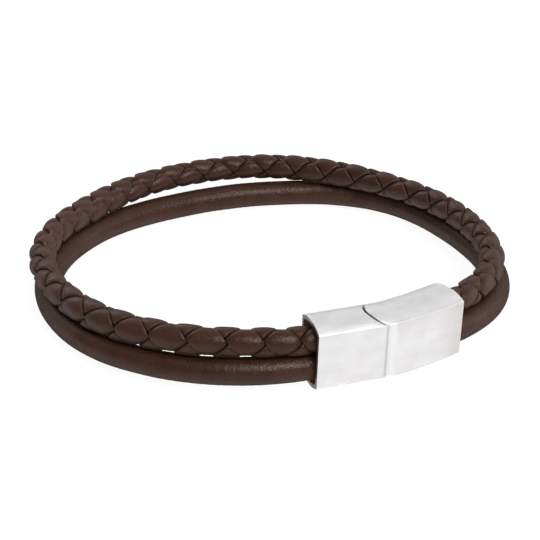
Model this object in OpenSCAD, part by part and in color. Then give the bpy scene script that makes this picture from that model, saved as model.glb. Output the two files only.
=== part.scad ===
// A bracelet of two round leather strands, one braided and one smooth, held one above the other in
// a two-part steel clasp. It lies on its side, with the wrist's axis upright along Z and the clasp
// at the front right. Millimetres, origin at the middle of the underside.

/* [Strands] */
// Diameter of each leather strand
strand_d = 4.2; // [4:0.1:4.3]
// Clear space between the two strands
strand_gap = 0.1; // [0.05:0.05:0.2]

/* [Braid] */
// Length of braid in which one strip goes round once
braid_pitch = 10.6; // [10:0.1:11.5]
// Thickness of the leather strips at their middle
strip_t = 0.6; // [0.4:0.05:0.6]
// How far a strip rises and dips as it goes over and under
weave_lift = 0.48; // [0.46:0.01:0.5]
// How far the edges of crossing strips give way, as a share of a crossing
edge_give = 0.09; // [0.06:0.01:0.15]
// Clear space between neighbouring strips, as a share of a crossing
edge_gap = 0.05; // [0.04:0.01:0.08]
// Angle of the row of crests on the outer side, up from level
crest_turn = 30; // [0:5:45]
// Place of the first crossing along the braid
first_crossing = 4.8; // [0:0.1:5.3]

/* [Clasp] */
// Thickness of the clasp, from the wrist outward
clasp_w = 6.8; // [6.6:0.1:7.4]
// Height of the clasp's outer face
side_h = 8.9; // [8.6:0.1:9.4]
// How far the top and the underside bulge above the edges of the outer face
crown_rise = 1; // [0.7:0.1:1.2]
// Width of the flat strip along the middle of the underside that the clasp stands on
land_w = 1.6; // [1:0.1:2.4]
// Wall of the two sleeves
clasp_wall = 0.7; // [0.6:0.05:0.8]
// Length of the socket, the half on the left, along its outer face
socket_l = 10.9; // [10.5:0.1:11.5]
// Straight stretch of the plug next to the seam
plug_straight = 1.4; // [1:0.1:2]
// Angle through which the plug bends
plug_bend = 10.3; // [9:0.1:11]
// Radius of that bend, along the outer face
plug_bend_r = 71; // [68:1:74]
// Radius of the plug's round nose
nose_r = 3.8; // [3.7:0.05:3.9]
// Gap between nose and socket at their middle
nose_gap = 0.25; // [0.2:0.05:0.4]

/* [Hidden] */
leather = "#3a2620";
steel = "#c9c7c4";
tiny = 0.01;
round_fn = 96;

// Heights: the clasp stands on the ground, the strands leave its middle and sink until the smooth
// one rests on the ground at the far side.
crown_r = (pow(clasp_w / 2, 2) + pow(crown_rise, 2)) / (2 * crown_rise);
land_cut = crown_r - sqrt(pow(crown_r, 2) - pow(land_w / 2, 2));
clasp_h = side_h + 2 * crown_rise - 2 * land_cut;
strand_r = strand_d / 2;
strand_offset = (strand_d + strand_gap) / 2;
smooth_z = clasp_h / 2 - strand_offset;
braid_z = clasp_h / 2 + strand_offset;
sink = smooth_z - strand_r;

// Places in plan, from the middle of the loop: the outer end of the seam, the way the straight
// part of the clasp points, and the shift that brings the middle of the outline to the origin.
seam_at = [17.6, -23.6];
socket_turn = 21.2;
plug_turn = 30;
clasp_azimuth = -52;
centre_shift = [-0.15, -4.88];

// Plan of the strands: the angle round the loop, and how far out the middle of each strand lies.
// The first row lies inside the plug and the last one inside the socket.
AZIMUTH = 0;
BRAID_OUT = 1;
SMOOTH_OUT = 2;
plan = [
    [-39, 27.7, 27.7],
    [-26, 29.7, 30.4],
    [0, 34.9, 36.3],
    [30, 36.3, 37.5],
    [60, 35.7, 37.8],
    [90, 36.4, 34.2],
    [120, 35.7, 33.0],
    [150, 35.8, 34.4],
    [180, 36.3, 35.4],
    [210, 32.7, 33.4],
    [240, 27.9, 29.2],
    [262, 25.5, 26.8],
    [284, 25.1, 25.4],
    [294, 25.1, 25.1]
];
last_row = len(plan) - 1;
start_azimuth = -36;
end_azimuth = 293;

// A smooth curve through the rows of the plan
function slope(column, i) =
    let(a = plan[max(i - 1, 0)], b = plan[min(i + 1, last_row)])
    (b[column] - a[column]) / (b[AZIMUTH] - a[AZIMUTH]);
function row_before(azimuth) =
    max([for (i = [0:last_row - 1]) plan[i][AZIMUTH] <= azimuth ? i : 0]);
function out_at(column, azimuth) =
    let(
        i = row_before(azimuth),
        span = plan[i + 1][AZIMUTH] - plan[i][AZIMUTH],
        t = (azimuth - plan[i][AZIMUTH]) / span
    )
    (2 * pow(t, 3) - 3 * pow(t, 2) + 1) * plan[i][column]
    + (pow(t, 3) - 2 * pow(t, 2) + t) * span * slope(column, i)
    + (3 * pow(t, 2) - 2 * pow(t, 3)) * plan[i + 1][column]
    + (pow(t, 3) - pow(t, 2)) * span * slope(column, i + 1);
function centre_at(column, level, azimuth) =
    let(out = out_at(column, azimuth))
    [
        out * cos(azimuth) + centre_shift.x,
        out * sin(azimuth) + centre_shift.y,
        level - sink * (1 - cos(azimuth - clasp_azimuth)) / 2
    ];

// The length along a strand at each azimuth, and the strand's middle, outward and upward
// directions at a length
azimuth_steps = 166;
chord = 0.5;
function azimuth_of(i) = start_azimuth + (end_azimuth - start_azimuth) * i / azimuth_steps;
function lengths(column, level) = [
    for (
        i = 0, run = 0, here = centre_at(column, level, azimuth_of(0));
        i <= azimuth_steps;
        i = i + 1,
        next = centre_at(column, level, azimuth_of(i)),
        run = run + norm(next - here),
        here = next
    ) [run, azimuth_of(i)]
];
function unit(v) = v / norm(v);
function frame_at(column, level, table, run) =
    let(
        azimuth = lookup(run, table),
        before = centre_at(column, level, azimuth - chord),
        after = centre_at(column, level, azimuth + chord),
        along = unit(after - before),
        outward = unit([along.y, -along.x, 0])
    )
    [centre_at(column, level, azimuth), outward, cross(outward, along)];
function on_frame(frame, angle, radius) =
    frame[0] + radius * (cos(angle) * frame[1] + sin(angle) * frame[2]);
braid_lengths = lengths(BRAID_OUT, braid_z);
smooth_lengths = lengths(SMOOTH_OUT, smooth_z);
braid_l = braid_lengths[azimuth_steps][0];
smooth_l = smooth_lengths[azimuth_steps][0];

// A closed solid through a list of rings, each with the same number of points. The four corners
// between two rings and two sides are split into triangles along one diagonal or the other: the
// one that climbs with the rings where lean is 1, and the other one where it is 0.
module swept(rings, lean) {
    sides = len(rings[0]);
    last = len(rings) - 1;
    corner = function (k, i) k * sides + i % sides;
    polyhedron(
        points = [for (ring = rings) for (point = ring) point],
        faces = concat(
            [[for (i = [0:sides - 1]) i]],
            [for (k = [0:last - 1]) for (i = [0:sides - 1])
                [corner(k, i), corner(k + 1, i + lean), corner(k, i + 1)]],
            [for (k = [0:last - 1]) for (i = [0:sides - 1])
                [corner(k, i + 1 - lean), corner(k + 1, i), corner(k + 1, i + 1)]],
            [[for (i = [sides - 1:-1:0]) corner(last, i)]]
        )
    );
}

// Smooth strand
smooth_sides = 12;
smooth_rings = 78;
module smooth_cord() {
    rings = [
        for (k = [0:smooth_rings])
        let(frame = frame_at(SMOOTH_OUT, smooth_z, smooth_lengths, smooth_l * k / smooth_rings))
        [for (i = [0:smooth_sides - 1]) on_frame(frame, -360 * i / smooth_sides, strand_r)]
    ];
    color(leather) swept(rings, 1);
}

// Braid. Strips 1 and 2 climb round the strand one way and 3 and 4 the other. A crossing is a
// quarter of the pitch long and a quarter turn wide, and a strip is over at every second one.
// Along a strip, place counts crossings and across is measured in crossings too.
crossing_l = braid_pitch / 4;
braid_mid_r = strand_r - weave_lift - strip_t / 2;
strip_w = 1 - edge_give - edge_gap;
lift_sharpness = 0.5;
first_place = 0.5 - first_crossing / crossing_l;
last_place = (braid_l - first_crossing) / crossing_l - 0.5;

// Offsets of the points of a strip's section: across it, and outward from its middle
ACROSS = 0;
OUTWARD = 1;
shoulder = 0.28;
strip_section = [
    [-0.5 * strip_w, 0],
    [0, -0.5 * strip_t],
    [0.5 * strip_w, 0],
    [shoulder * strip_w, 0.5 * strip_t],
    [-shoulder * strip_w, 0.5 * strip_t]
];
// Places of a strip's rings within one crossing, and the least distance of a ring from either end
ring_places = [-0.36, 0, 0.36, 0.5];
end_clear = 0.05;

function lift_at(place) =
    let(c = cos(180 * place))
    weave_lift * c * sqrt(1 + pow(lift_sharpness, 2)) / sqrt(pow(c, 2) + pow(lift_sharpness, 2));
function strip_point(way, number, place, offset) =
    let(
        across = offset[ACROSS] + edge_give / 2 * sin(180 * place),
        run = first_crossing + crossing_l * (place - way * across),
        angle = crest_turn + 90 * (2 * number + way * place + across),
        radius = braid_mid_r - way * lift_at(place) + offset[OUTWARD]
    )
    on_frame(frame_at(BRAID_OUT, braid_z, braid_lengths, run), angle, radius);
module braid_strip(way, number) {
    places = concat(
        [first_place],
        [
            for (crossing = [ceil(first_place):floor(last_place)])
            for (step = ring_places)
            let(place = crossing + step)
            if (place > first_place + end_clear && place < last_place - end_clear)
            place
        ],
        [last_place]
    );
    rings = [
        for (place = places)
        [for (offset = strip_section) strip_point(way, number, place, offset)]
    ];
    color(leather) swept(rings, way > 0 ? 1 : 0);
}

// Section of the clasp, from its outer face at x = 0 inward, made smaller all round by inset
module clasp_section(inset) {
    bulge_y = clasp_h / 2 + land_cut - crown_r;
    translate([clasp_w / 2, clasp_h / 2])
    intersection() {
        square([clasp_w - 2 * inset, clasp_h - 2 * inset], center = true);
        translate([0, bulge_y]) circle(r = crown_r - inset, $fn = round_fn);
        translate([0, -bulge_y]) circle(r = crown_r - inset, $fn = round_fn);
    }
}

// A straight run of the section along X
module clasp_run(from, to, inset) {
    translate([from, 0, 0])
    rotate([90, 0, 90])
    linear_extrude(height = to - from)
    clasp_section(inset);
}

// The bent run of the section, which turns about a centre on the wrist's side. It starts at the
// end of the straight stretch, and covers the bend from one angle to another.
module clasp_bend(from, to, inset) {
    translate([plug_straight, 0, 0])
    rotate(plug_turn - socket_turn)
    translate([0, plug_bend_r, 0])
    rotate(from - 90)
    rotate_extrude(angle = to - from, $fn = 360)
    translate([plug_bend_r, 0])
    mirror([1, 0])
    clasp_section(inset);
}

// The frame of the clasp: X along its straight part, Y toward the wrist
module in_clasp_frame() {
    translate([seam_at.x + centre_shift.x, seam_at.y + centre_shift.y, 0])
    rotate(socket_turn)
    children();
}

// Round nose of the plug and the seat for it, with a tongue and its slot hidden inside
nose_x = plug_straight + 0.1;
nose_y = 3.5;
nose_end = 0.6;
seat_r = 3.7;
seat_x = nose_x - nose_r - nose_gap + seat_r;
tongue_reach = 2.4;
tongue_w = 3.6;
tongue_h = 6;
tongue_root = 1.5;
tongue_gap = 0.15;
pocket_in_socket = 4.2;
pocket_in_plug = 6.8;
pocket_turn = pocket_in_plug / plug_bend_r * 180 / PI;
notch_w = 1;
notch_deep = 0.4;
notch_x = -1.1;

module upright_cylinder(x, r) {
    translate([x, nose_y, -1])
    cylinder(r = r, h = clasp_h + 2, $fn = round_fn);
}
module tongue(reach, gap) {
    translate([seat_x - seat_r - reach, nose_y - tongue_w / 2 - gap, clasp_h / 2 - tongue_h / 2 - gap])
    cube([reach + tongue_root, tongue_w + 2 * gap, tongue_h + 2 * gap]);
}

module clasp_socket() {
    color(steel) in_clasp_frame()
    difference() {
        clasp_run(-socket_l, 0, 0);
        clasp_run(-socket_l - 1, -socket_l + pocket_in_socket, clasp_wall);
        upright_cylinder(seat_x, seat_r);
        tongue(tongue_reach + tongue_gap, tongue_gap);
        translate([notch_x, clasp_w - notch_deep, -1])
        cube([notch_w, notch_deep + 1, clasp_h + 2]);
    }
}

module clasp_plug() {
    color(steel) in_clasp_frame()
    union() {
        difference() {
            union() {
                intersection() {
                    clasp_run(-nose_r, nose_x, 0);
                    upright_cylinder(nose_x, nose_r);
                }
                clasp_run(nose_end, plug_straight + tiny, 0);
                clasp_bend(0, plug_bend, 0);
            }
            clasp_bend(plug_bend - pocket_turn, plug_bend + 1, clasp_wall);
        }
        tongue(tongue_reach, 0);
    }
}

clasp_socket();
clasp_plug();
smooth_cord();
braid_strip(1, 0);  // braid_strip_1
braid_strip(1, 1);  // braid_strip_2
braid_strip(-1, 0);  // braid_strip_3
braid_strip(-1, 1);  // braid_strip_4
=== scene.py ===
import bpy
import numpy as np
from mathutils import Matrix


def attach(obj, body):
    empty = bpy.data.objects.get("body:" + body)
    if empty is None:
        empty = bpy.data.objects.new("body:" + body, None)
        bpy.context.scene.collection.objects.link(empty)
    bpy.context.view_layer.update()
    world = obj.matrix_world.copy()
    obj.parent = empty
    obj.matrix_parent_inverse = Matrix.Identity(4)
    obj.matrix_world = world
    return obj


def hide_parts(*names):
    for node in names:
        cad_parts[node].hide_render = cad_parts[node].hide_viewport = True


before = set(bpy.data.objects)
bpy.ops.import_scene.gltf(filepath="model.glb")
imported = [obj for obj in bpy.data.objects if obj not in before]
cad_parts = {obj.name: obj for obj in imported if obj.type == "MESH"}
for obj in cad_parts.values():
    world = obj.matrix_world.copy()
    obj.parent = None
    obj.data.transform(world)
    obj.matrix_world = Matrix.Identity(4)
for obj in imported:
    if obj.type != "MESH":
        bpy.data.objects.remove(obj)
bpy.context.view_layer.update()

# A bracelet of two round leather strands, one braided and one smooth, in a two-part steel clasp.
# Lengths are in millimetres, and MM turns them into metres for Blender's meshes, bumps, lights and
# places.
MM = 0.001

# Sizes that the scene shares with the CAD model
STRAND_R = 2.1
STRAND_GAP = 0.1
CLASP_W = 6.8
SIDE_H = 8.9
CROWN_RISE = 1.0
LAND_W = 1.6
CLASP_WALL = 0.7
SOCKET_L = 10.9
PLUG_STRAIGHT = 1.4
PLUG_BEND_R = 71.0
PLUG_BEND = np.radians(10.3)
SOCKET_TURN = np.radians(21.2)
PLUG_TURN = np.radians(30.0)
SEAM_AT = np.array([17.6, -23.6])
CENTRE_SHIFT = np.array([-0.15, -4.88])
CLASP_AZIMUTH = -52.0
NOSE_R = 3.8
NOSE_Y = 3.5

# The seam is a little wider than in the CAD model: how far past the plug's straight stretch the
# middle of the nose lies, the gap at the middle of the seam, and the radius of the seat
NOSE_BEYOND = 0.35
NOSE_GAP = 0.42
SEAT_R = 3.64
NOSE_X = PLUG_STRAIGHT + NOSE_BEYOND
SEAT_X = NOSE_X - NOSE_R - NOSE_GAP + SEAT_R

# Heights of the clasp and of the middles of the strands where they leave it
CROWN_R = ((CLASP_W / 2) ** 2 + CROWN_RISE ** 2) / (2 * CROWN_RISE)
LAND_CUT = CROWN_R - np.sqrt(CROWN_R ** 2 - (LAND_W / 2) ** 2)
CLASP_H = SIDE_H + 2 * CROWN_RISE - 2 * LAND_CUT
STRAND_OFFSET = STRAND_R + STRAND_GAP / 2
SMOOTH_Z = CLASP_H / 2 - STRAND_OFFSET
BRAID_Z = CLASP_H / 2 + STRAND_OFFSET

# How far the strands sink to the far side of the loop, with room left there for the cord's uneven
# skin
SKIN_ROOM = 0.05
SINK = SMOOTH_Z - STRAND_R - SKIN_ROOM

# Plan of the strands: the angle round the loop in degrees, and how far out each strand lies
AZIMUTH, BRAID_OUT, SMOOTH_OUT = 0, 1, 2
PLAN = np.array([
    [-39, 27.7, 27.7],
    [-26, 29.7, 30.4],
    [0, 34.9, 36.3],
    [30, 36.3, 37.5],
    [60, 35.7, 37.8],
    [90, 36.4, 34.2],
    [120, 35.7, 33.0],
    [150, 35.8, 34.4],
    [180, 36.3, 35.4],
    [210, 32.7, 33.4],
    [240, 27.9, 29.2],
    [262, 25.5, 26.8],
    [284, 25.1, 25.4],
    [294, 25.1, 25.1],
])
START_AZIMUTH, END_AZIMUTH = -36.0, 293.0
STRAND_SAMPLES = 5001

# Small bends of the strands that the plan leaves out: the middle of each bend and its half-width,
# in degrees round the loop, and how far out it goes
BENDS = {
    BRAID_OUT: [(8, 14, 0.30), (112, 32, -0.36), (148, 12, -0.30), (250, 25, 0.24)],
    SMOOTH_OUT: [(-18, 14, 0.35), (38, 18, -0.45), (66, 8, -0.20), (116, 32, -0.52), (236, 32, 0.30)],
}

# Where a strand is thicker or thinner than elsewhere: the middle and half-width of each place in
# degrees round the loop, and how much it adds to the radius. A thicker strand also lies lower by as
# much, so its top stays in place and its underside comes down by twice that.
SWELLS = {
    BRAID_OUT: [(78, 16, 0.15), (147, 16, 0.28), (221, 12, 0.05), (241, 37, 0.17)],
    SMOOTH_OUT: [(236, 24, -0.08)],
}

# The braid is tighter at the two ends of the loop and looser at its back: lengths along the strand
# where every fourth crossing lies, counted from one near the plug, and a crossing's usual length
CROSSING_COUNT = np.arange(-4, 80, 4)
CROSSING_RUN = np.array([
    -6.0, 4.3, 14.5, 24.7, 33.8, 43.0, 53.4, 65.0, 76.5, 88.1, 99.5,
    110.0, 119.8, 129.1, 137.8, 147.3, 158.0, 168.8, 180.0, 190.4, 200.8,
])
CROSSING_L = 2.65
CROSSING_SAMPLES = 1001

# The braid is slightly twisted: lengths along the strand, and the angle of one row of crossings
# there, in degrees up from outward
CREST_RUN = np.array([-5, 10, 20, 30, 40, 50, 60, 80, 110, 140, 150, 160, 168, 174, 180, 187, 200])
CREST_TURN = np.array([22, 20, 13, 3, 0, 2, 6, 12, 12, 11, 15, 18, 28, 35, 32, 28, 28])


# Meshes

def closed_mesh(name, rings, straight, finish):
    """A closed surface through rings of points, with one face over each end.

    rings and straight are arrays of rings x points x 3 in millimetres. straight is where each point
    would be on the piece laid out straight, and finish is one number for each point. The materials
    read both as attributes. The finish of leather is 1 at a cut edge, lighter partly from use and
    partly as a painted highlight, and -1 where painted shade lies in the grooves of the braid or on
    the cord under it, and that of steel is given below, with the clasp.
    """
    count, sides = rings.shape[:2]
    corner = np.arange(count * sides).reshape(count, sides)
    following = np.roll(corner, -1, axis=1)
    walls = np.stack([corner[:-1], following[:-1], following[1:], corner[1:]], axis=-1).reshape(-1, 4)
    points = rings.reshape(-1, 3)
    a, b, c, d = (points[walls[:, i]] for i in range(4))
    middle = points.mean(axis=0)
    volume = np.einsum("ij,ij->", (a + b + c + d) / 4 - middle, np.cross(c - a, d - b))
    faces = walls.tolist() + [corner[0][::-1].tolist(), corner[-1].tolist()]
    if volume < 0:
        faces = [face[::-1] for face in faces]
    mesh = bpy.data.meshes.new(name)
    mesh.from_pydata(points * MM, [], faces)
    layer = mesh.attributes.new("straight", "FLOAT_VECTOR", "POINT")
    layer.data.foreach_set("vector", straight.reshape(-1).astype(np.float32))
    layer = mesh.attributes.new("finish", "FLOAT", "POINT")
    layer.data.foreach_set("value", finish.reshape(-1).astype(np.float32))
    mesh.shade_smooth()
    mesh.validate()
    piece = bpy.data.objects.new(name, mesh)
    bpy.context.scene.collection.objects.link(piece)
    return piece


RIPPLE_WAVES = 12
RIPPLE_FASTEST = 1.5


def ripple(seed, lengths, *coordinates):
    """A smooth random field: twice the mean of sine waves whose directions and phases are drawn
    once. It lies mostly between -1 and 1.

    lengths holds one wave length for each coordinate, in the coordinate's own unit. The waves are
    up to RIPPLE_FASTEST times as quick as that, and many are slower.
    """
    draw = np.random.default_rng(seed)
    field = 0
    for _ in range(RIPPLE_WAVES):
        phase = draw.uniform(0, 2 * np.pi)
        for length, coordinate in zip(lengths, coordinates):
            phase = phase + 2 * np.pi * draw.uniform(-1, 1) * RIPPLE_FASTEST / length * coordinate
        field = field + np.sin(phase)
    return field / RIPPLE_WAVES * 2


# Strands

def through(places, values, place):
    """The cubic curve through the values at the places, whose slope at each of them is that of
    the line between its two neighbours."""
    before = np.maximum(np.arange(len(places)) - 1, 0)
    after = np.minimum(np.arange(len(places)) + 1, len(places) - 1)
    slope = (values[after] - values[before]) / (places[after] - places[before])
    i = np.clip(np.searchsorted(places, place, side="right") - 1, 0, len(places) - 2)
    span = places[i + 1] - places[i]
    t = (place - places[i]) / span
    return (
        (2 * t ** 3 - 3 * t ** 2 + 1) * values[i]
        + (t ** 3 - 2 * t ** 2 + t) * span * slope[i]
        + (3 * t ** 2 - 2 * t ** 3) * values[i + 1]
        + (t ** 3 - t ** 2) * span * slope[i + 1]
    )


def hump(place, middle, half_width):
    """A bell curve: e to the power of minus the square of the distance in half-widths."""
    return np.exp(-((place - middle) / half_width) ** 2)


class Strand:
    """The middle line of a strand, with its outward and upward directions and how much thicker it
    is, by length along it. Round the loop it lies as far out as the plan and its bends say, and it
    sinks by a cosine of the angle from the clasp, and by as much as it is thicker."""

    def __init__(self, column, level):
        azimuth = np.linspace(START_AZIMUTH, END_AZIMUTH, STRAND_SAMPLES)
        angle = np.radians(azimuth)
        out = through(PLAN[:, AZIMUTH], PLAN[:, column], azimuth)
        for middle, half_width, shift in BENDS[column]:
            out = out + shift * hump(azimuth, middle, half_width)
        swell = 0 * out
        for middle, half_width, growth in SWELLS[column]:
            swell = swell + growth * hump(azimuth, middle, half_width)
        drop = SINK * (1 - np.cos(angle - np.radians(CLASP_AZIMUTH))) / 2
        middle = np.stack([
            out * np.cos(angle) + CENTRE_SHIFT[0],
            out * np.sin(angle) + CENTRE_SHIFT[1],
            level - drop - np.maximum(swell, 0),
        ], axis=1)
        along = np.gradient(middle, axis=0)
        along /= np.linalg.norm(along, axis=1)[:, None]
        outward = np.stack([along[:, 1], -along[:, 0], 0 * out], axis=1)
        outward /= np.linalg.norm(outward, axis=1)[:, None]
        steps = np.linalg.norm(np.diff(middle, axis=0), axis=1)
        self.run = np.concatenate([[0], np.cumsum(steps)])
        self.length = self.run[-1]
        self.swell = swell
        self.table = np.concatenate([middle, outward, np.cross(outward, along)], axis=1)

    def point(self, run, angle, radius):
        """The point at a length along the strand, an angle up from outward, and a radius."""
        radius = radius + np.interp(run, self.run, self.swell)
        columns = [np.interp(run, self.run, self.table[:, i]) for i in range(9)]
        middle, outward, upward = (np.stack(columns[i:i + 3], axis=-1) for i in (0, 3, 6))
        turn = np.radians(angle)[..., None]
        return middle + radius[..., None] * (np.cos(turn) * outward + np.sin(turn) * upward)


# Painted shade darkens the cord where the braid lies on it: how near the braid's skin lies where that
# shade is darkest, and where it ends. The cord gives way and stays clear of the braid by
# PRESSED_CLEAR.
CONTACT_SHADE_FROM, CONTACT_SHADE_TO = 0.12, 0.45
PRESSED_CLEAR = 0.05

# The cord is a little thicker than its solid, with low swellings and finer creases: how high they
# are and how long, along the cord, outward and up, and the seeds of their random draws
CORD_THICKER = 0.04
SWELLING_HIGH, SWELLING_LONG, SWELLING_SEED = 0.022, (9, 7, 7), 11
CREASE_HIGH, CREASE_LONG, CREASE_SEED = 0.010, (1.6, 4, 4), 12
CORD_RINGS, CORD_SIDES = 800, 64


def make_smooth_cord():
    """A round cord: a circle carried along the strand, its radius uneven by a few hundredths. Painted
    shade darkens it along the line where the braid lies on it: the nearer the braid's skin, the
    darker. A point that would lie inside that skin is moved straight out of it, away from the braid's
    middle."""
    strand = Strand(SMOOTH_OUT, SMOOTH_Z)
    braid = Strand(BRAID_OUT, BRAID_Z)
    run = np.linspace(0, strand.length, CORD_RINGS)[:, None]
    angle = np.linspace(0, 360, CORD_SIDES, endpoint=False)[None, :]
    turn = np.radians(angle)
    ring_y = STRAND_R * np.cos(turn) + 0 * run
    ring_z = STRAND_R * np.sin(turn) + 0 * run
    swelling = SWELLING_HIGH * ripple(SWELLING_SEED, SWELLING_LONG, run, ring_y, ring_z)
    crease = CREASE_HIGH * ripple(CREASE_SEED, CREASE_LONG, run, ring_y, ring_z)
    radius = STRAND_R + CORD_THICKER + swelling + crease
    rings = strand.point(run + 0 * angle, angle + 0 * run, radius)
    straight = np.stack([run + 0 * angle, ring_y, ring_z], axis=-1)
    braid_middle = [np.interp(run, strand.run, braid.table[:, i]) for i in range(3)]
    from_braid = rings - np.stack(braid_middle, axis=-1)
    away = np.linalg.norm(from_braid, axis=-1)
    gap = away - BRAID_R - np.interp(run, strand.run, braid.swell)
    # Painted shade where the braid lies on the cord, darkest where the braid's skin is nearest
    contact_shade = ramp(CONTACT_SHADE_TO - gap, 0, CONTACT_SHADE_TO - CONTACT_SHADE_FROM)
    dent = np.maximum(0, PRESSED_CLEAR - gap)
    rings = rings + from_braid * (dent / away)[..., None]
    return closed_mesh("smooth_cord_skin", rings, straight, -contact_shade)


# Braid

# A strip's thickness, its clearance over the strip below and its least thickness there. The braid
# and its strips are a little thicker than their solids.
STRIP_T = 0.62
STRIP_CLEAR = 0.02
STRIP_LEAST = 0.06
BRAID_THICKER = 0.05
BRAID_R = STRAND_R + BRAID_THICKER

# Rounding of a strip's outer edges, as a share of its width and in millimetres outward, and the
# points that its outline has in each corner, along its outer face and along its inner face
EDGE_ROUND_ACROSS = 0.085
EDGE_ROUND_OUT = 0.24
CORNER_POINTS, OUTER_POINTS, INNER_POINTS = 6, 19, 11

# The strips end half a crossing inside the ends of the strand
END_SHORT = 0.5
RINGS_PER_CROSSING = 24

# The hollow where four corners meet, and how steeply it falls
HOLLOW_DEEP, HOLLOW_STEEP = 0.22, 6

# Made by hand, a strip is uneven in width, by a share of it, and in height, in millimetres: how
# long the waves are, in millimetres along it and in crossings across it, and the first strip's seeds
WIDTH_UNEVEN, WIDTH_LONG, WIDTH_SEED = 0.008, (5,), 20
HEIGHT_UNEVEN, HEIGHT_LONG, HEIGHT_SEED = 0.018, (3.5, 0.75), 30

# Laid out straight, a crossing's width across the strip, and the step from one strip to the next,
# so that no two strips carry the same pattern
CROSSING_WIDE = 3.75
STRIPS_APART = 10

# The strips ride over each other in round bulges, which are lower and flatter in the front: how
# high and how round they are, how much less in the front, and where along the strand that is
WEAVE_LIFT, LOWER = 0.62, 0.11
ROUND_LIFT, FLATTER = 1.15, 0.77
FLAT_AT, FLAT_WIDTH = 174.0, 24.0

# Waxed leather turns lighter and duller where it is bent tightly, at the two ends of the loop: the
# middle and half-width of each place along the strand, and how much. So do a strip's edges, over a
# share of its width, where the lighter colour is partly from use and partly a painted highlight.
TIGHT_BENDS = [(132, 24, 0.75), (22, 18, 0.5)]
WORN_AND_LIT_EDGE = 0.05

# Painted shade in the grooves of the braid: how far from the middle of a crossing it starts and is
# darkest, in crossings. There is less in the front, and least at the back left: the middle and
# half-width of that place along the strand, and how much less.
GROOVE_SHADE_FROM, GROOVE_SHADE_TO = 0.34, 0.50
LESS_SHADE_IN_FRONT = 0.5
LESS_SHADE_AT, LESS_SHADE_WIDTH, LESS_SHADE_SHARE = 110, 16, 0.8

# The two families of strips, by the way they turn. Those that rise to the right have high edges,
# and are pulled narrower in the front; those that fall to the right meet edge to edge, and their
# thin edges lie on the strips below. Half a strip's width, how much wider it is over a crossing,
# and how much narrower in the front; how far from the middle of a crossing it comes up, and how
# much farther in the front, in crossings; and how much lower its edges are, in millimetres.
REACH, FREED = 3, 4
FAMILY = {
    1: (0.455, 0.0, 0.105, 0.53, 0.0, 0.10),
    -1: (0.494, 0.020, 0.0, 0.55, 0.08, 0.12),
}

# How far from the middle of a crossing a strip's extra width starts to fade and is gone
BULGE_FROM, BULGE_TO = 0.28, 0.40


def lift_at(place, reach, in_front):
    """How far a strip is above or below the middle, at a place counted from a crossing where it
    is on top: a cosine that is zero at the reach, with tops as flat as the roundness is small."""
    roundness = ROUND_LIFT - FLATTER * in_front
    c = np.cos(np.pi * place) - np.cos(np.pi * reach)
    top = 1 - np.cos(np.pi * reach)
    level = np.sqrt(c ** 2 + roundness ** 2) / np.sqrt(top ** 2 + roundness ** 2) * top
    return (WEAVE_LIFT - LOWER * in_front) * c / level


def ramp(value, low, high):
    """0 below low and 1 above high, with a smooth rise between them."""
    t = np.clip((value - low) / (high - low), 0, 1)
    return t * t * (3 - 2 * t)


def strip_outline():
    """Half-rounded outline of a strip: across from -0.5 to 0.5 of its width, and height from -1
    at its inner face to 1 at its outer face, with rounded corners on the outer face."""
    corner = np.radians(np.linspace(0, 90, CORNER_POINTS))
    corner_down = 2 * EDGE_ROUND_OUT / STRIP_T
    top = np.linspace(0.5 - EDGE_ROUND_ACROSS, -0.5 + EDGE_ROUND_ACROSS, OUTER_POINTS)[1:-1]
    right_across = 0.5 - EDGE_ROUND_ACROSS * (1 - np.cos(corner))
    right_height = 1 - corner_down * (1 - np.sin(corner))
    across = np.concatenate([[0.5, 0.5], right_across, top, -right_across[::-1], [-0.5, -0.5]])
    height = np.concatenate([[-1, -0.5], right_height, 1 + 0 * top, right_height[::-1], [-0.5, -1]])
    bottom = np.linspace(-0.5, 0.5, INNER_POINTS)[1:-1]
    return np.concatenate([across, bottom]), np.concatenate([height, -1 + 0 * bottom])


def strip_finish(outline, run, from_nearest, in_front):
    """1 at a strip's cut edges, lighter partly from use and partly as a painted highlight, and less
    where it is bent tightly, down to -1 for painted shade in the grooves where it dips under another."""
    # Cut edges: lighter partly from use and partly as a painted highlight
    finish = np.clip((np.abs(outline) - 0.5 + WORN_AND_LIT_EDGE) / WORN_AND_LIT_EDGE, 0, 1)
    for tight_at, half_width, share in TIGHT_BENDS:
        finish = np.maximum(finish, share * hump(run, tight_at, half_width))
    # Painted shade in the grooves, less in the front and at the back left
    less_shade = np.maximum(LESS_SHADE_IN_FRONT * in_front, LESS_SHADE_SHARE * hump(run, LESS_SHADE_AT, LESS_SHADE_WIDTH))
    painted_shade = ramp(from_nearest, GROOVE_SHADE_FROM, GROOVE_SHADE_TO) * (1 - less_shade)
    return finish * (1 - painted_shade) - painted_shade


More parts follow.
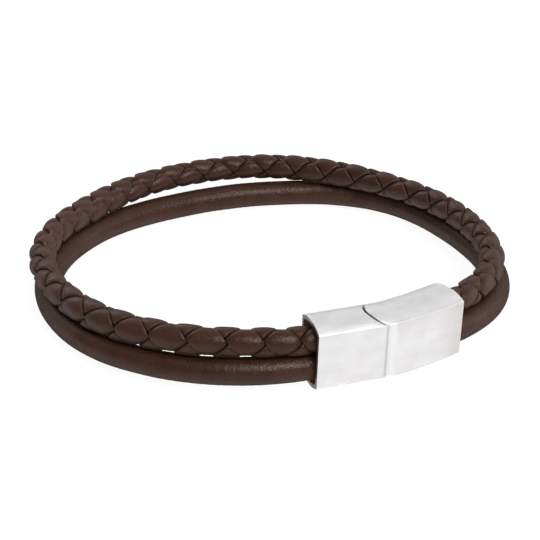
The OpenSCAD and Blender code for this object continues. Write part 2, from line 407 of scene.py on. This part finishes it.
def make_braid_strip(number):
    """One flat strip of the braid. Along it, place counts crossings, and across it is measured in
    crossings too: the length along the strand is that of crossing place - way x across, and the
    angle round the strand = the crest's angle + 90 degrees x (way x place + across), with half a
    turn more for the second strip of a family. Its radius rises and dips with the place. Its
    underside is kept above the strip below, as far as its least thickness lets it, and all strips
    sink into a small hollow where four corners meet."""
    way = 1 if number < 2 else -1
    half_w, bulge, pulled, _, _, crown = FAMILY[way]
    strand = Strand(BRAID_OUT, BRAID_Z)
    counts = np.linspace(CROSSING_COUNT[0], CROSSING_COUNT[-1], CROSSING_SAMPLES)
    runs = through(CROSSING_COUNT, CROSSING_RUN, counts)
    first = np.interp(0, runs, counts) + END_SHORT
    last = np.interp(strand.length, runs, counts) - END_SHORT
    place = np.linspace(first, last, int((last - first) * RINGS_PER_CROSSING))[:, None]
    from_top = place + (1 if way > 0 else 0)
    from_nearest = np.abs(from_top - 2 * np.round(from_top / 2))
    outline, height = (values[None, :] for values in strip_outline())
    along_mm = place * CROSSING_L * np.sqrt(2)
    wave = WIDTH_UNEVEN * ripple(WIDTH_SEED + number, WIDTH_LONG, along_mm)
    middle_run = through(CROSSING_COUNT, CROSSING_RUN, place)
    half = (half_w - pulled * hump(middle_run, FLAT_AT, FLAT_WIDTH)) * (1 + wave)
    half = half + bulge * (1 - ramp(from_nearest, BULGE_FROM, BULGE_TO))
    across = 2 * outline * half
    run = through(CROSSING_COUNT, CROSSING_RUN, place - way * across)
    in_front = hump(run, FLAT_AT, FLAT_WIDTH)
    reach, other_reach = (
        FAMILY[turn][REACH] + FAMILY[turn][FREED] * in_front for turn in (way, -way)
    )
    lift = lift_at(from_top, reach, in_front)
    level = BRAID_R - WEAVE_LIFT + LOWER * in_front - STRIP_T / 2
    top = level + lift + STRIP_T / 2 - crown * (2 * outline) ** 2
    below = lift_at(1 - np.abs(across), other_reach, in_front) + STRIP_T / 2 + STRIP_CLEAR
    bottom = level + lift - STRIP_T / 2
    bottom = np.where(from_nearest < 0.5, np.maximum(bottom, level + below), bottom)
    bottom = np.minimum(bottom, top - STRIP_LEAST)
    corner = np.maximum(0, -np.sin(np.pi * from_top) * np.sin(np.pi * across))
    radius = bottom + (height + 1) / 2 * (top - bottom) - HOLLOW_DEEP * corner ** HOLLOW_STEEP
    hand = HEIGHT_UNEVEN * ripple(HEIGHT_SEED + number, HEIGHT_LONG, along_mm, across)
    radius = radius + np.where(height > 0, hand, 0)
    crest = through(CREST_RUN, CREST_TURN, run)
    angle = crest + 90 * (2 * (number % 2) + way * place + across)
    rings = strand.point(run, angle, radius)
    through_mm = radius + STRIPS_APART * number
    straight = np.stack([along_mm + 0 * across, across * CROSSING_WIDE, through_mm], axis=-1)
    finish = strip_finish(outline, run, from_nearest, in_front)
    return closed_mesh(f"braid_strip_{number + 1}_skin", rings, straight, finish)


# Clasp

# A row of points this far below each corner keeps the shading of the flat sides flat
SIDE_SUPPORT = 0.12
CLASP_CORNER_POINTS, CROWN_POINTS = 9, 26


def clasp_outline(inset, corner_r):
    """Outline of the clasp's section, seen along it: flat front and back, and top and underside
    crowned by arcs. y runs from the front face toward the wrist, and z up. Each corner is rounded
    by sliding its points along a circle. The outline has the same number of points for any inset."""
    half_w = CLASP_W / 2 - inset
    crown_r = CROWN_R - inset
    bulge = CLASP_H / 2 + LAND_CUT - CROWN_R

    def crown(y):
        """Height of the crowned top above the middle, cut level at the land."""
        return np.minimum(bulge + np.sqrt(crown_r ** 2 - y ** 2), CLASP_H / 2 - inset)

    side_z = crown(half_w - corner_r) - corner_r
    near_z = side_z - SIDE_SUPPORT
    side = np.array([-side_z, -near_z, -side_z / 3, side_z / 3, near_z])
    turn = np.radians(np.linspace(0, 90, CLASP_CORNER_POINTS))
    slope = np.arcsin((half_w - corner_r) / crown_r)
    turn = turn * (1 - slope / np.radians(90))
    corner_y = half_w - corner_r * (1 - np.cos(turn))
    corner_z = side_z + corner_r * np.sin(turn)
    top_y = corner_y[-1] * np.cos(np.linspace(0, np.pi, CROWN_POINTS))[1:-1]
    top_z = crown(top_y) + (corner_z[-1] - crown(corner_y[-1]))
    back = np.stack([0 * side + half_w, side], axis=1)
    back_corner = np.stack([corner_y, corner_z], axis=1)
    top = np.stack([top_y, np.minimum(top_z, CLASP_H / 2 - inset)], axis=1)
    front_corner = (back_corner * [-1, 1])[::-1]
    upper = np.concatenate([back_corner, top, front_corner])
    front = -back[:, :1] * [1, 0] + side[::-1, None] * [0, 1]
    lower = -upper
    outline = np.concatenate([back[1:], upper, front[1:], lower])
    return outline + [CLASP_W / 2, CLASP_H / 2]


def nose_edge(y, centre_x, radius):
    """Where a round upright nose or seat ends, at a depth y from the front face."""
    return centre_x - np.sqrt(radius ** 2 - (y - NOSE_Y) ** 2)


def straight_place(x, y):
    """Plan position of a point in the straight part of the clasp."""
    direction = np.array([np.cos(SOCKET_TURN), np.sin(SOCKET_TURN)])
    inward = np.array([-direction[1], direction[0]])
    origin = SEAM_AT + CENTRE_SHIFT
    return origin + x[..., None] * direction + y[..., None] * inward


def bent_place(x, y):
    """Plan position of a point in the bent part of the plug: x is the length along the outer face
    from the end of the straight stretch, and the bend turns about a centre on the wrist's side."""
    start = straight_place(np.array(PLUG_STRAIGHT), np.array(0.0))
    heading = PLUG_TURN + x / PLUG_BEND_R
    centre = start + PLUG_BEND_R * np.array([-np.sin(PLUG_TURN), np.cos(PLUG_TURN)])
    arm = np.stack([np.sin(heading), -np.cos(heading)], axis=-1)
    return centre + (PLUG_BEND_R - y)[..., None] * arm


def clasp_ring(outline, x, finish, place):
    """A ring of the clasp: its outline at the place x along it, as points in their place, as
    points straightened, and its finish at each point."""
    y, z = outline[:, 0], outline[:, 1]
    x = x + 0 * y
    points = np.concatenate([place(x, y), z[:, None]], axis=1)
    return points, np.stack([x, y, z], axis=1), finish + 0 * y


# Roundings: the long corners, the outer and inner edges of a mouth's rim, the seam, and the ridge
# where the plug turns
CORNER_R = 0.25
END_ROUND = 0.06
RIM_ROUND = 0.1
SEAM_ROUND = 0.07
KINK_ROUND = 0.25

# What is hidden in the clasp: how deep the strands' pockets are, and the tongue with its slot
POCKET_IN_SOCKET = 4.2
POCKET_IN_PLUG = 6.8
TONGUE_REACH = 2.4
TONGUE_W = 3.6
TONGUE_H = 6.0
TONGUE_GAP = 0.15

# The notch at the inner end of the seam, smaller than in the CAD model: how far it cuts the socket
# back, how far it reaches from the inner face, and how wide its slope is
NOTCH_DEEP, NOTCH_W, NOTCH_SLOPE = 0.35, 0.45, 0.1

# Finishes of the steel, kept in the mesh: a painted highlight on the front of the plug's straight
# stretch, brushed, darkened with painted shade on the front corners and darker toward the plug's far
# end, raw where it was cut, and painted light inside the sleeves that lifts the shade there
PAINTED_HIGHLIGHT, BRUSHED, DARKENED, RAW, LIT_INSIDE = -0.6, 0.0, 0.24, 1.0, 2.0

# The front corners are darkened over a band by painted shade: how far below and above where the flat
# front ends it fades in, how far back from the front it reaches, over what width it fades there, and
# how much of it the upper corner gets. The plug's front turns darker from a share of its length.
BAND_BELOW, BAND_ABOVE = 0.15, 0.05
BAND_BACK, BAND_FADE = 0.6, 0.3
UPPER_SHARE = 0.5
DARKER_FROM = 0.5

# Points nearer the front than these lie on the flat front, and on it or its rounded edge
FLUSH = 1e-6
FRONT_DEPTH = 0.05

# The last ring in a sleeve, behind its rim, and the rings along the outer skin of each half
RIM_BACK = 0.3
SOCKET_RINGS, PLUG_RINGS = 12, 24


def sleeve_mouth(end, depth, outward):
    """Rings from deep inside an open sleeve, over its rim, to its outer skin: an outline, a place
    along it, and the finish. outward is 1 where the mouth faces along the clasp, and -1 against
    it."""
    inner = clasp_outline(CLASP_WALL, CORNER_R)
    # Pale inside the sleeve: painted light that lifts its shade
    rings = [(inner, end - outward * d, LIT_INSIDE) for d in (depth, depth * 0.6, depth * 0.2, RIM_BACK)]
    for turn in (15, 45, 75):
        t = np.radians(turn)
        inset = CLASP_WALL - RIM_ROUND * (1 - np.cos(t))
        place = end - outward * RIM_ROUND * (1 - np.sin(t))
        rings.append((clasp_outline(inset, CORNER_R), place, RAW))
    for turn, finish in ((90, RAW), (60, BRUSHED), (30, BRUSHED), (5, BRUSHED)):
        t = np.radians(turn)
        inset = END_ROUND * (1 - np.cos(t))
        place = end - outward * END_ROUND * (1 - np.sin(t))
        rings.append((clasp_outline(inset, CORNER_R), place, finish))
    return rings


def tongue_outline(points, gap):
    """The tongue's rectangular outline, with one point for each point of the clasp's outline."""
    half = np.array([TONGUE_W / 2 + gap, TONGUE_H / 2 + gap])
    middle = np.array([NOSE_Y, CLASP_H / 2])
    reach = points - [CLASP_W / 2, CLASP_H / 2]
    share = np.max(np.abs(reach) / half, axis=1)
    return middle + reach / share[:, None]


def front_corners(outline):
    """1 on the rounded lower front corner of an outline and UPPER_SHARE on the upper one, fading
    to 0 next to them."""
    flat_side = outline[outline[:, 0] < FLUSH, 1]
    height = outline[:, 1] - CLASP_H / 2
    past = np.abs(height) - (flat_side.max() - CLASP_H / 2)
    share = np.where(height > 0, UPPER_SHARE, 1.0)
    return share * ramp(past, -BAND_BELOW, BAND_ABOVE) * ramp(BAND_BACK - outline[:, 0], 0, BAND_FADE)


def make_clasp_socket():
    """The left half: a straight sleeve whose right end is hollowed by the round seat."""
    rings = sleeve_mouth(-SOCKET_L, POCKET_IN_SOCKET, -1)
    outer = clasp_outline(0, CORNER_R)

    def seat(points):
        """End of the socket at each point, cut back at the inner end of the seam."""
        y = points[:, 0]
        notch = NOTCH_DEEP * np.clip((y - CLASP_W + NOTCH_W) / NOTCH_SLOPE, 0, 1)
        return nose_edge(y, SEAT_X, SEAT_R) - notch

    left = -SOCKET_L + END_ROUND
    underneath = outer[:, 1] < CLASP_H / 2
    for share in np.linspace(0, 1, SOCKET_RINGS):
        place = left + share * (seat(outer) - SEAM_ROUND - left)
        # Painted shade on the lower front corner
        rings.append((outer, place, DARKENED * front_corners(outer) * underneath))
    for t in np.radians([30, 60, 90]):
        inner = clasp_outline(SEAM_ROUND * (1 - np.cos(t)), CORNER_R)
        rings.append((inner, seat(inner) - SEAM_ROUND * (1 - np.sin(t)), BRUSHED))
    slot = tongue_outline(outer, TONGUE_GAP)
    for share in (0.25, 0.5, 0.75, 1):
        points = inner + share * (slot - inner)
        rings.append((points, nose_edge(points[:, 0], SEAT_X, SEAT_R), RAW))
    rings.append((slot, SEAT_X - SEAT_R - TONGUE_REACH - TONGUE_GAP + 0 * slot[:, 0], RAW))
    made = [clasp_ring(*ring, straight_place) for ring in rings]
    return closed_mesh("clasp_socket_shell", *(np.stack(part) for part in zip(*made)))


def make_clasp_plug():
    """The right half: a round nose with a tongue, a short straight stretch, and a bent sleeve."""
    outer = clasp_outline(0, CORNER_R)
    tongue = tongue_outline(outer, 0)
    straight_rings = [(tongue, NOSE_X - NOSE_R - TONGUE_REACH + 0 * tongue[:, 0], RAW)]
    for share in (0, 0.25, 0.5, 0.75):
        points = tongue + share * (clasp_outline(SEAM_ROUND, CORNER_R) - tongue)
        straight_rings.append((points, nose_edge(points[:, 0], NOSE_X, NOSE_R), RAW))
    for t in np.radians([90, 60, 30, 0]):
        points = clasp_outline(SEAM_ROUND * (1 - np.cos(t)), CORNER_R)
        edge = nose_edge(points[:, 0], NOSE_X, NOSE_R)
        straight_rings.append((points, edge + SEAM_ROUND * (1 - np.sin(t)), BRUSHED))
    kink = np.tan((PLUG_TURN - SOCKET_TURN) / 2)
    in_front = (outer[:, 0] < FRONT_DEPTH).astype(float)
    first = straight_rings[-1][1]
    mitre = PLUG_STRAIGHT - KINK_ROUND - outer[:, 0] * kink
    for share in (0.3, 0.6, 0.85, 1):
        # A painted highlight on the front of the straight stretch
        straight_rings.append((outer, first + share * (mitre - first), PAINTED_HIGHLIGHT * in_front))
    end = PLUG_BEND * PLUG_BEND_R
    start = KINK_ROUND + outer[:, 0] * kink
    bent_rings = []
    for share in np.concatenate([[0.01, 0.04, 0.07], np.linspace(0.1, 1, PLUG_RINGS)]):
        # Painted shade on the front corners, and the front darker toward the far end
        darkened = np.maximum(in_front * ramp(share, DARKER_FROM, 1), front_corners(outer))
        bent_rings.append((outer, start + share * (end - END_ROUND - start), DARKENED * darkened))
    bent_rings += sleeve_mouth(end, POCKET_IN_PLUG, 1)[::-1]
    made = [clasp_ring(*ring, straight_place) for ring in straight_rings]
    for ring in bent_rings:
        points, flat, finish = clasp_ring(*ring, bent_place)
        made.append((points, flat + [PLUG_STRAIGHT, 0, 0], finish))
    return closed_mesh("clasp_plug_shell", *(np.stack(part) for part in zip(*made)))


# Materials

def linear(code):
    """A colour written as sRGB hex, as the linear colour that Blender mixes."""
    parts = np.array([int(code[i:i + 2], 16) for i in (1, 3, 5)]) / 255
    light = np.where(parts <= 0.04045, parts / 12.92, ((parts + 0.055) / 1.055) ** 2.4)
    return (*light.tolist(), 1.0)


def add(tree, kind, inputs=None, **settings):
    """Adds one node, sets its properties, and links or fills its inputs."""
    made = tree.nodes.new(kind)
    for key, value in settings.items():
        setattr(made, key, value)
    for key, value in (inputs or {}).items():
        if isinstance(value, bpy.types.NodeSocket):
            tree.links.new(value, made.inputs[key])
        else:
            made.inputs[key].default_value = value
    return made


def new_material(name):
    """An empty material with its surface and the straightened coordinates, in millimetres."""
    material = bpy.data.materials.new(name)
    material.use_nodes = True
    tree = material.node_tree
    surface = tree.nodes["Principled BSDF"]
    straight = add(tree, "ShaderNodeAttribute", attribute_name="straight").outputs["Vector"]
    return material, tree, surface, straight


def pattern(tree, straight, widths, detail, roughness):
    """Random light and dark patches, of these widths along the piece, across it and through it."""
    place = add(tree, "ShaderNodeVectorMath", {0: straight, 1: widths}, operation="DIVIDE").outputs[0]
    return add(tree, "ShaderNodeTexNoise", {
        "Vector": place,
        "Scale": 1.0,
        "Detail": detail,
        "Roughness": roughness,
    }).outputs["Fac"]


# Widths of the patterns in millimetres, along a piece, across it and through it. The leather's
# pebbles and the scratches of the belt are really finer than a pixel, and are drawn coarser here so
# that they show.
LEATHER_MOTTLE = (3.333, 3.333, 3.333)
LEATHER_PEBBLES = (0.3125, 0.3125, 0.3125)
CORD_CREASES = (0.5, 0.5556, 0.5556)
STRIP_CREASES = (0.5556, 0.4545, 0.4545)
BELT_SCRATCHES = (4.545, 0.2222, 0.2222)
BELT_CLOUDS = (3.333, 2.222, 2.222)

# How high the patterns stand, in millimetres
PEBBLE_HIGH = 0.045
CORD_CREASE_HIGH, STRIP_CREASE_HIGH = 0.09, 0.07
SCRATCH_HIGH = 0.03

# Leather dulls where it is seen at a glance: from how far toward edge-on, over what range
CORD_DULL_FROM, STRIP_DULL_FROM = 0.28, 0.42
DULL_RANGE = 0.45


def make_leather(name, crease_widths, crease_high, dull_from):
    """Drum-dyed cowhide, finished with a thin wax: dark brown right through, with a fine pebbled
    grain, small creases where it bends, and a soft sheen that breaks up on both. It is lighter at
    tight bends, and at cut edges partly from use and partly as a painted highlight; painted shade
    darkens it in the grooves of the braid and where the braid lies on the cord."""
    material, tree, surface, straight = new_material(name)
    mottle = pattern(tree, straight, LEATHER_MOTTLE, detail=3.0, roughness=0.5)
    pebbles = pattern(tree, straight, LEATHER_PEBBLES, detail=3.0, roughness=0.6)
    creases = pattern(tree, straight, crease_widths, detail=3.0, roughness=0.55)
    finish = add(tree, "ShaderNodeAttribute", attribute_name="finish").outputs["Fac"]

    # The dye, with a painted highlight on cut edges and painted shade in the grooves and under the
    # braid
    light_dye = add(tree, "ShaderNodeMapRange", {"Value": mottle, "From Min": 0.35, "From Max": 0.65})
    dyed = add(tree, "ShaderNodeMix", {
        "Factor": light_dye.outputs["Result"],
        "A": linear("#321d15"),
        "B": linear("#3b241b"),
    }, data_type="RGBA")
    # Lighter at tight bends, and at cut edges partly from use and partly as a painted highlight
    wear_and_highlight = add(tree, "ShaderNodeMapRange", {"Value": finish, "To Max": 0.5})
    worn_and_lit = add(tree, "ShaderNodeMix", {
        "Factor": wear_and_highlight.outputs["Result"],
        "A": dyed.outputs["Result"],
        "B": linear("#523b33"),
    }, data_type="RGBA")
    # Painted shade in the grooves of the braid and where the braid lies on the cord
    painted_shade = add(tree, "ShaderNodeMapRange", {"Value": finish, "From Max": -1.0, "To Max": 0.7})
    deep = add(tree, "ShaderNodeMix", {
        "Factor": painted_shade.outputs["Result"],
        "A": worn_and_lit.outputs["Result"],
        "B": linear("#1e110c"),
    }, data_type="RGBA")
    tree.links.new(deep.outputs["Result"], surface.inputs["Base Color"])

    # The wax
    waxed = add(tree, "ShaderNodeMapRange", {
        "Value": pebbles,
        "From Min": 0.3,
        "From Max": 0.7,
        "To Min": 0.19,
        "To Max": 0.40,
    })
    glance = add(tree, "ShaderNodeLayerWeight", {"Blend": 0.5}).outputs["Facing"]
    edge_on = add(tree, "ShaderNodeMapRange", {
        "Value": glance,
        "From Min": dull_from,
        "From Max": dull_from + DULL_RANGE,
        "To Max": 0.55,
    })
    rubbed_off = add(tree, "ShaderNodeMapRange", {"Value": finish, "To Max": 0.12})
    dull = add(tree, "ShaderNodeMath", {
        0: waxed.outputs["Result"],
        1: edge_on.outputs["Result"],
    }, operation="ADD")
    duller = add(tree, "ShaderNodeMath", {
        0: dull.outputs[0],
        1: rubbed_off.outputs["Result"],
    }, operation="ADD")
    tree.links.new(duller.outputs[0], surface.inputs["Roughness"])
    surface.inputs["Specular IOR Level"].default_value = 0.26
    surface.inputs["Specular Tint"].default_value = linear("#ffeade")

    # The grain
    grain = add(tree, "ShaderNodeBump", {
        "Height": pebbles,
        "Strength": 1.0,
        "Distance": PEBBLE_HIGH * MM,
    })
    creased = add(tree, "ShaderNodeBump", {
        "Height": creases,
        "Strength": 1.0,
        "Distance": crease_high * MM,
        "Normal": grain.outputs["Normal"],
    })
    tree.links.new(creased.outputs["Normal"], surface.inputs["Normal"])
    return material


def make_steel():
    """Stainless steel, made by casting and belt-brushed along its length: shiny, with fine lengthwise
    scratches that spread the reflections across them, and cloudy where the belt bore down unevenly.
    It has a painted highlight on the front of the plug's straight stretch and painted shade on the
    front corners, and the plug's front is darker toward its far end. It is dull brown-grey where it
    was cut, and pale and dull inside the sleeves, as painted light that lifts their shade."""
    material, tree, surface, straight = new_material("belt_brushed_stainless_steel")
    scratches = pattern(tree, straight, BELT_SCRATCHES, detail=4.0, roughness=0.65)
    clouds = pattern(tree, straight, BELT_CLOUDS, detail=3.0, roughness=0.5)
    finish = add(tree, "ShaderNodeAttribute", attribute_name="finish").outputs["Fac"]
    cloudy = add(tree, "ShaderNodeMapRange", {"Value": clouds, "From Min": 0.32, "From Max": 0.68})
    tone = add(tree, "ShaderNodeMix", {
        "Factor": cloudy.outputs["Result"],
        "A": linear("#e1dfdf"),
        "B": linear("#ebeaea"),
    }, data_type="RGBA")
    # The painted highlight on the front of the plug's straight stretch
    bright = add(tree, "ShaderNodeMapRange", {"Value": finish, "From Max": -1.0})
    highlighted = add(tree, "ShaderNodeMix", {
        "Factor": bright.outputs["Result"],
        "A": tone.outputs["Result"],
        "B": linear("#f2f1f1"),
    }, data_type="RGBA")
    # Brown-grey where it was cut; the front corners take part of it as painted shade, and the plug's
    # far end part of it as well
    raw = add(tree, "ShaderNodeMapRange", {"Value": finish}).outputs["Result"]
    cut = add(tree, "ShaderNodeMix", {
        "Factor": raw,
        "A": highlighted.outputs["Result"],
        "B": linear("#75635a"),
    }, data_type="RGBA")
    # Painted light, pale, inside the sleeves
    inside_fill = add(tree, "ShaderNodeMapRange", {"Value": finish, "From Min": RAW, "From Max": LIT_INSIDE})
    inside = add(tree, "ShaderNodeMix", {
        "Factor": inside_fill.outputs["Result"],
        "A": cut.outputs["Result"],
        "B": linear("#c9b3a6"),
    }, data_type="RGBA")
    tree.links.new(inside.outputs["Result"], surface.inputs["Base Color"])
    bare = add(tree, "ShaderNodeMapRange", {"Value": raw, "To Min": 1.0, "To Max": 0.35})
    tree.links.new(bare.outputs["Result"], surface.inputs["Metallic"])
    brushed = add(tree, "ShaderNodeMapRange", {
        "Value": scratches,
        "From Min": 0.3,
        "From Max": 0.7,
        "To Min": 0.36,
        "To Max": 0.48,
    })
    tree.links.new(brushed.outputs["Result"], surface.inputs["Roughness"])
    bump = add(tree, "ShaderNodeBump", {
        "Height": scratches,
        "Strength": 0.6,
        "Distance": SCRATCH_HIGH * MM,
    })
    tree.links.new(bump.outputs["Normal"], surface.inputs["Normal"])
    return material


# Stage

# How bright the wall and the room are, on which side the wall is, how bright the table is on its
# own, and half its width
WALL_LIGHT = 0.82
ROOM_LIGHT = 0.35
WALL_SIDE = (0.30, 0.95, 0.0)
TABLE_LIGHT = 0.93
TABLE_HALF = 1500

# The photograph's view, in degrees and millimetres, and its focal length and width in pixels
CAMERA_ELEVATION, CAMERA_ROLL, CAMERA_AWAY = 29, 2, 266
CAMERA_NEAREST = 10
FOCAL_PX, FRAME_PX = 1665, 540
SENSOR = 36

# Soft lights, all equally far away: azimuth and elevation in degrees, size in millimetres, and power
# in watts
SOFTBOX_AWAY = 900
SOFTBOXES = {
    "softbox_key": (32, 50, (340, 560), 5.6),
    "softbox_left": (-140, 35, (500, 400), 1.0),
    "softbox_right": (95, 20, (600, 500), 1.2),
}


def look_from(azimuth, elevation, roll, distance, target):
    """A camera's placing: azimuth 0 looks along +Y, elevation is up from level, in degrees."""
    turn = (
        Matrix.Rotation(np.radians(azimuth), 4, "Z")
        @ Matrix.Rotation(np.radians(90 - elevation), 4, "X")
        @ Matrix.Rotation(np.radians(roll), 4, "Z")
    )
    back = turn @ Matrix.Translation((0, 0, distance * MM))
    return Matrix.Translation([c * MM for c in target]) @ back


def make_camera():
    """The photograph's view: a long lens, 29 degrees above level, rolled by 2 degrees."""
    data = bpy.data.cameras.new("camera")
    data.sensor_width = SENSOR
    data.lens = SENSOR * FOCAL_PX / FRAME_PX
    data.clip_start = CAMERA_NEAREST * MM
    camera = bpy.data.objects.new("camera", data)
    bpy.context.scene.collection.objects.link(camera)
    target = (CENTRE_SHIFT[0], CENTRE_SHIFT[1], CLASP_H / 2)
    camera.matrix_world = look_from(0, CAMERA_ELEVATION, CAMERA_ROLL, CAMERA_AWAY, target)
    bpy.context.scene.camera = camera


def add_softbox(name, azimuth, elevation, size, power):
    """A rectangular soft light that looks at the bracelet from an azimuth and an elevation."""
    data = bpy.data.lights.new(name, "AREA")
    data.shape = "RECTANGLE"
    data.size, data.size_y = (side * MM for side in size)
    data.energy = power
    light = bpy.data.objects.new(name, data)
    bpy.context.scene.collection.objects.link(light)
    light.matrix_world = look_from(azimuth, elevation, 0, SOFTBOX_AWAY, (0, 0, 0))


def make_sky():
    """The studio round the table: a pale wall behind it, and a dim room on the camera's side.
    The light in a direction = ROOM_LIGHT, rising smoothly to WALL_LIGHT as it turns to the wall."""
    world = bpy.data.worlds.new("studio")
    world.use_nodes = True
    tree = world.node_tree
    direction = add(tree, "ShaderNodeTexCoord").outputs["Generated"]
    toward = add(tree, "ShaderNodeVectorMath", {0: direction, 1: WALL_SIDE}, operation="DOT_PRODUCT")
    light = add(tree, "ShaderNodeMapRange", {
        "Value": toward.outputs["Value"],
        "From Min": -0.5,
        "From Max": 0.5,
        "To Min": ROOM_LIGHT,
        "To Max": WALL_LIGHT,
    }, interpolation_type="SMOOTHSTEP")
    background = tree.nodes["Background"]
    background.inputs["Color"].default_value = linear("#ffffff")
    tree.links.new(light.outputs["Result"], background.inputs["Strength"])
    bpy.context.scene.world = world


def make_stage():
    """A white table, lit from under its sheet as product tables are, in a soft white studio."""
    half = TABLE_HALF * MM
    corners = [(-half, -half, 0), (half, -half, 0), (half, half, 0), (-half, half, 0)]
    mesh = bpy.data.meshes.new("table")
    mesh.from_pydata(corners, [], [(0, 1, 2, 3)])
    table = bpy.data.objects.new("table", mesh)
    bpy.context.scene.collection.objects.link(table)
    paper = bpy.data.materials.new("white_paper")
    paper.use_nodes = True
    surface = paper.node_tree.nodes["Principled BSDF"]
    surface.inputs["Base Color"].default_value = linear("#616161")
    surface.inputs["Roughness"].default_value = 0.9
    surface.inputs["Specular IOR Level"].default_value = 0.0
    surface.inputs["Emission Color"].default_value = linear("#ffffff")
    surface.inputs["Emission Strength"].default_value = TABLE_LIGHT
    mesh.materials.append(paper)
    make_sky()
    for name, settings in SOFTBOXES.items():
        add_softbox(name, *settings)


def dress(piece, node, material):
    """Puts a piece in the place of its CAD node, on the one body."""
    piece.data.materials.append(material)
    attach(piece, "root")
    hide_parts(node)


make_camera()
make_stage()
cord_leather = make_leather("waxed_cord_leather", CORD_CREASES, CORD_CREASE_HIGH, CORD_DULL_FROM)
strip_leather = make_leather("waxed_strip_leather", STRIP_CREASES, STRIP_CREASE_HIGH, STRIP_DULL_FROM)
steel = make_steel()
dress(make_smooth_cord(), "smooth_cord", cord_leather)
for strip_number in range(4):
    strip = make_braid_strip(strip_number)
    dress(strip, f"braid_strip_{strip_number + 1}", strip_leather)
dress(make_clasp_socket(), "clasp_socket", steel)
dress(make_clasp_plug(), "clasp_plug", steel)

bpy.context.scene.view_settings.view_transform = "Standard"
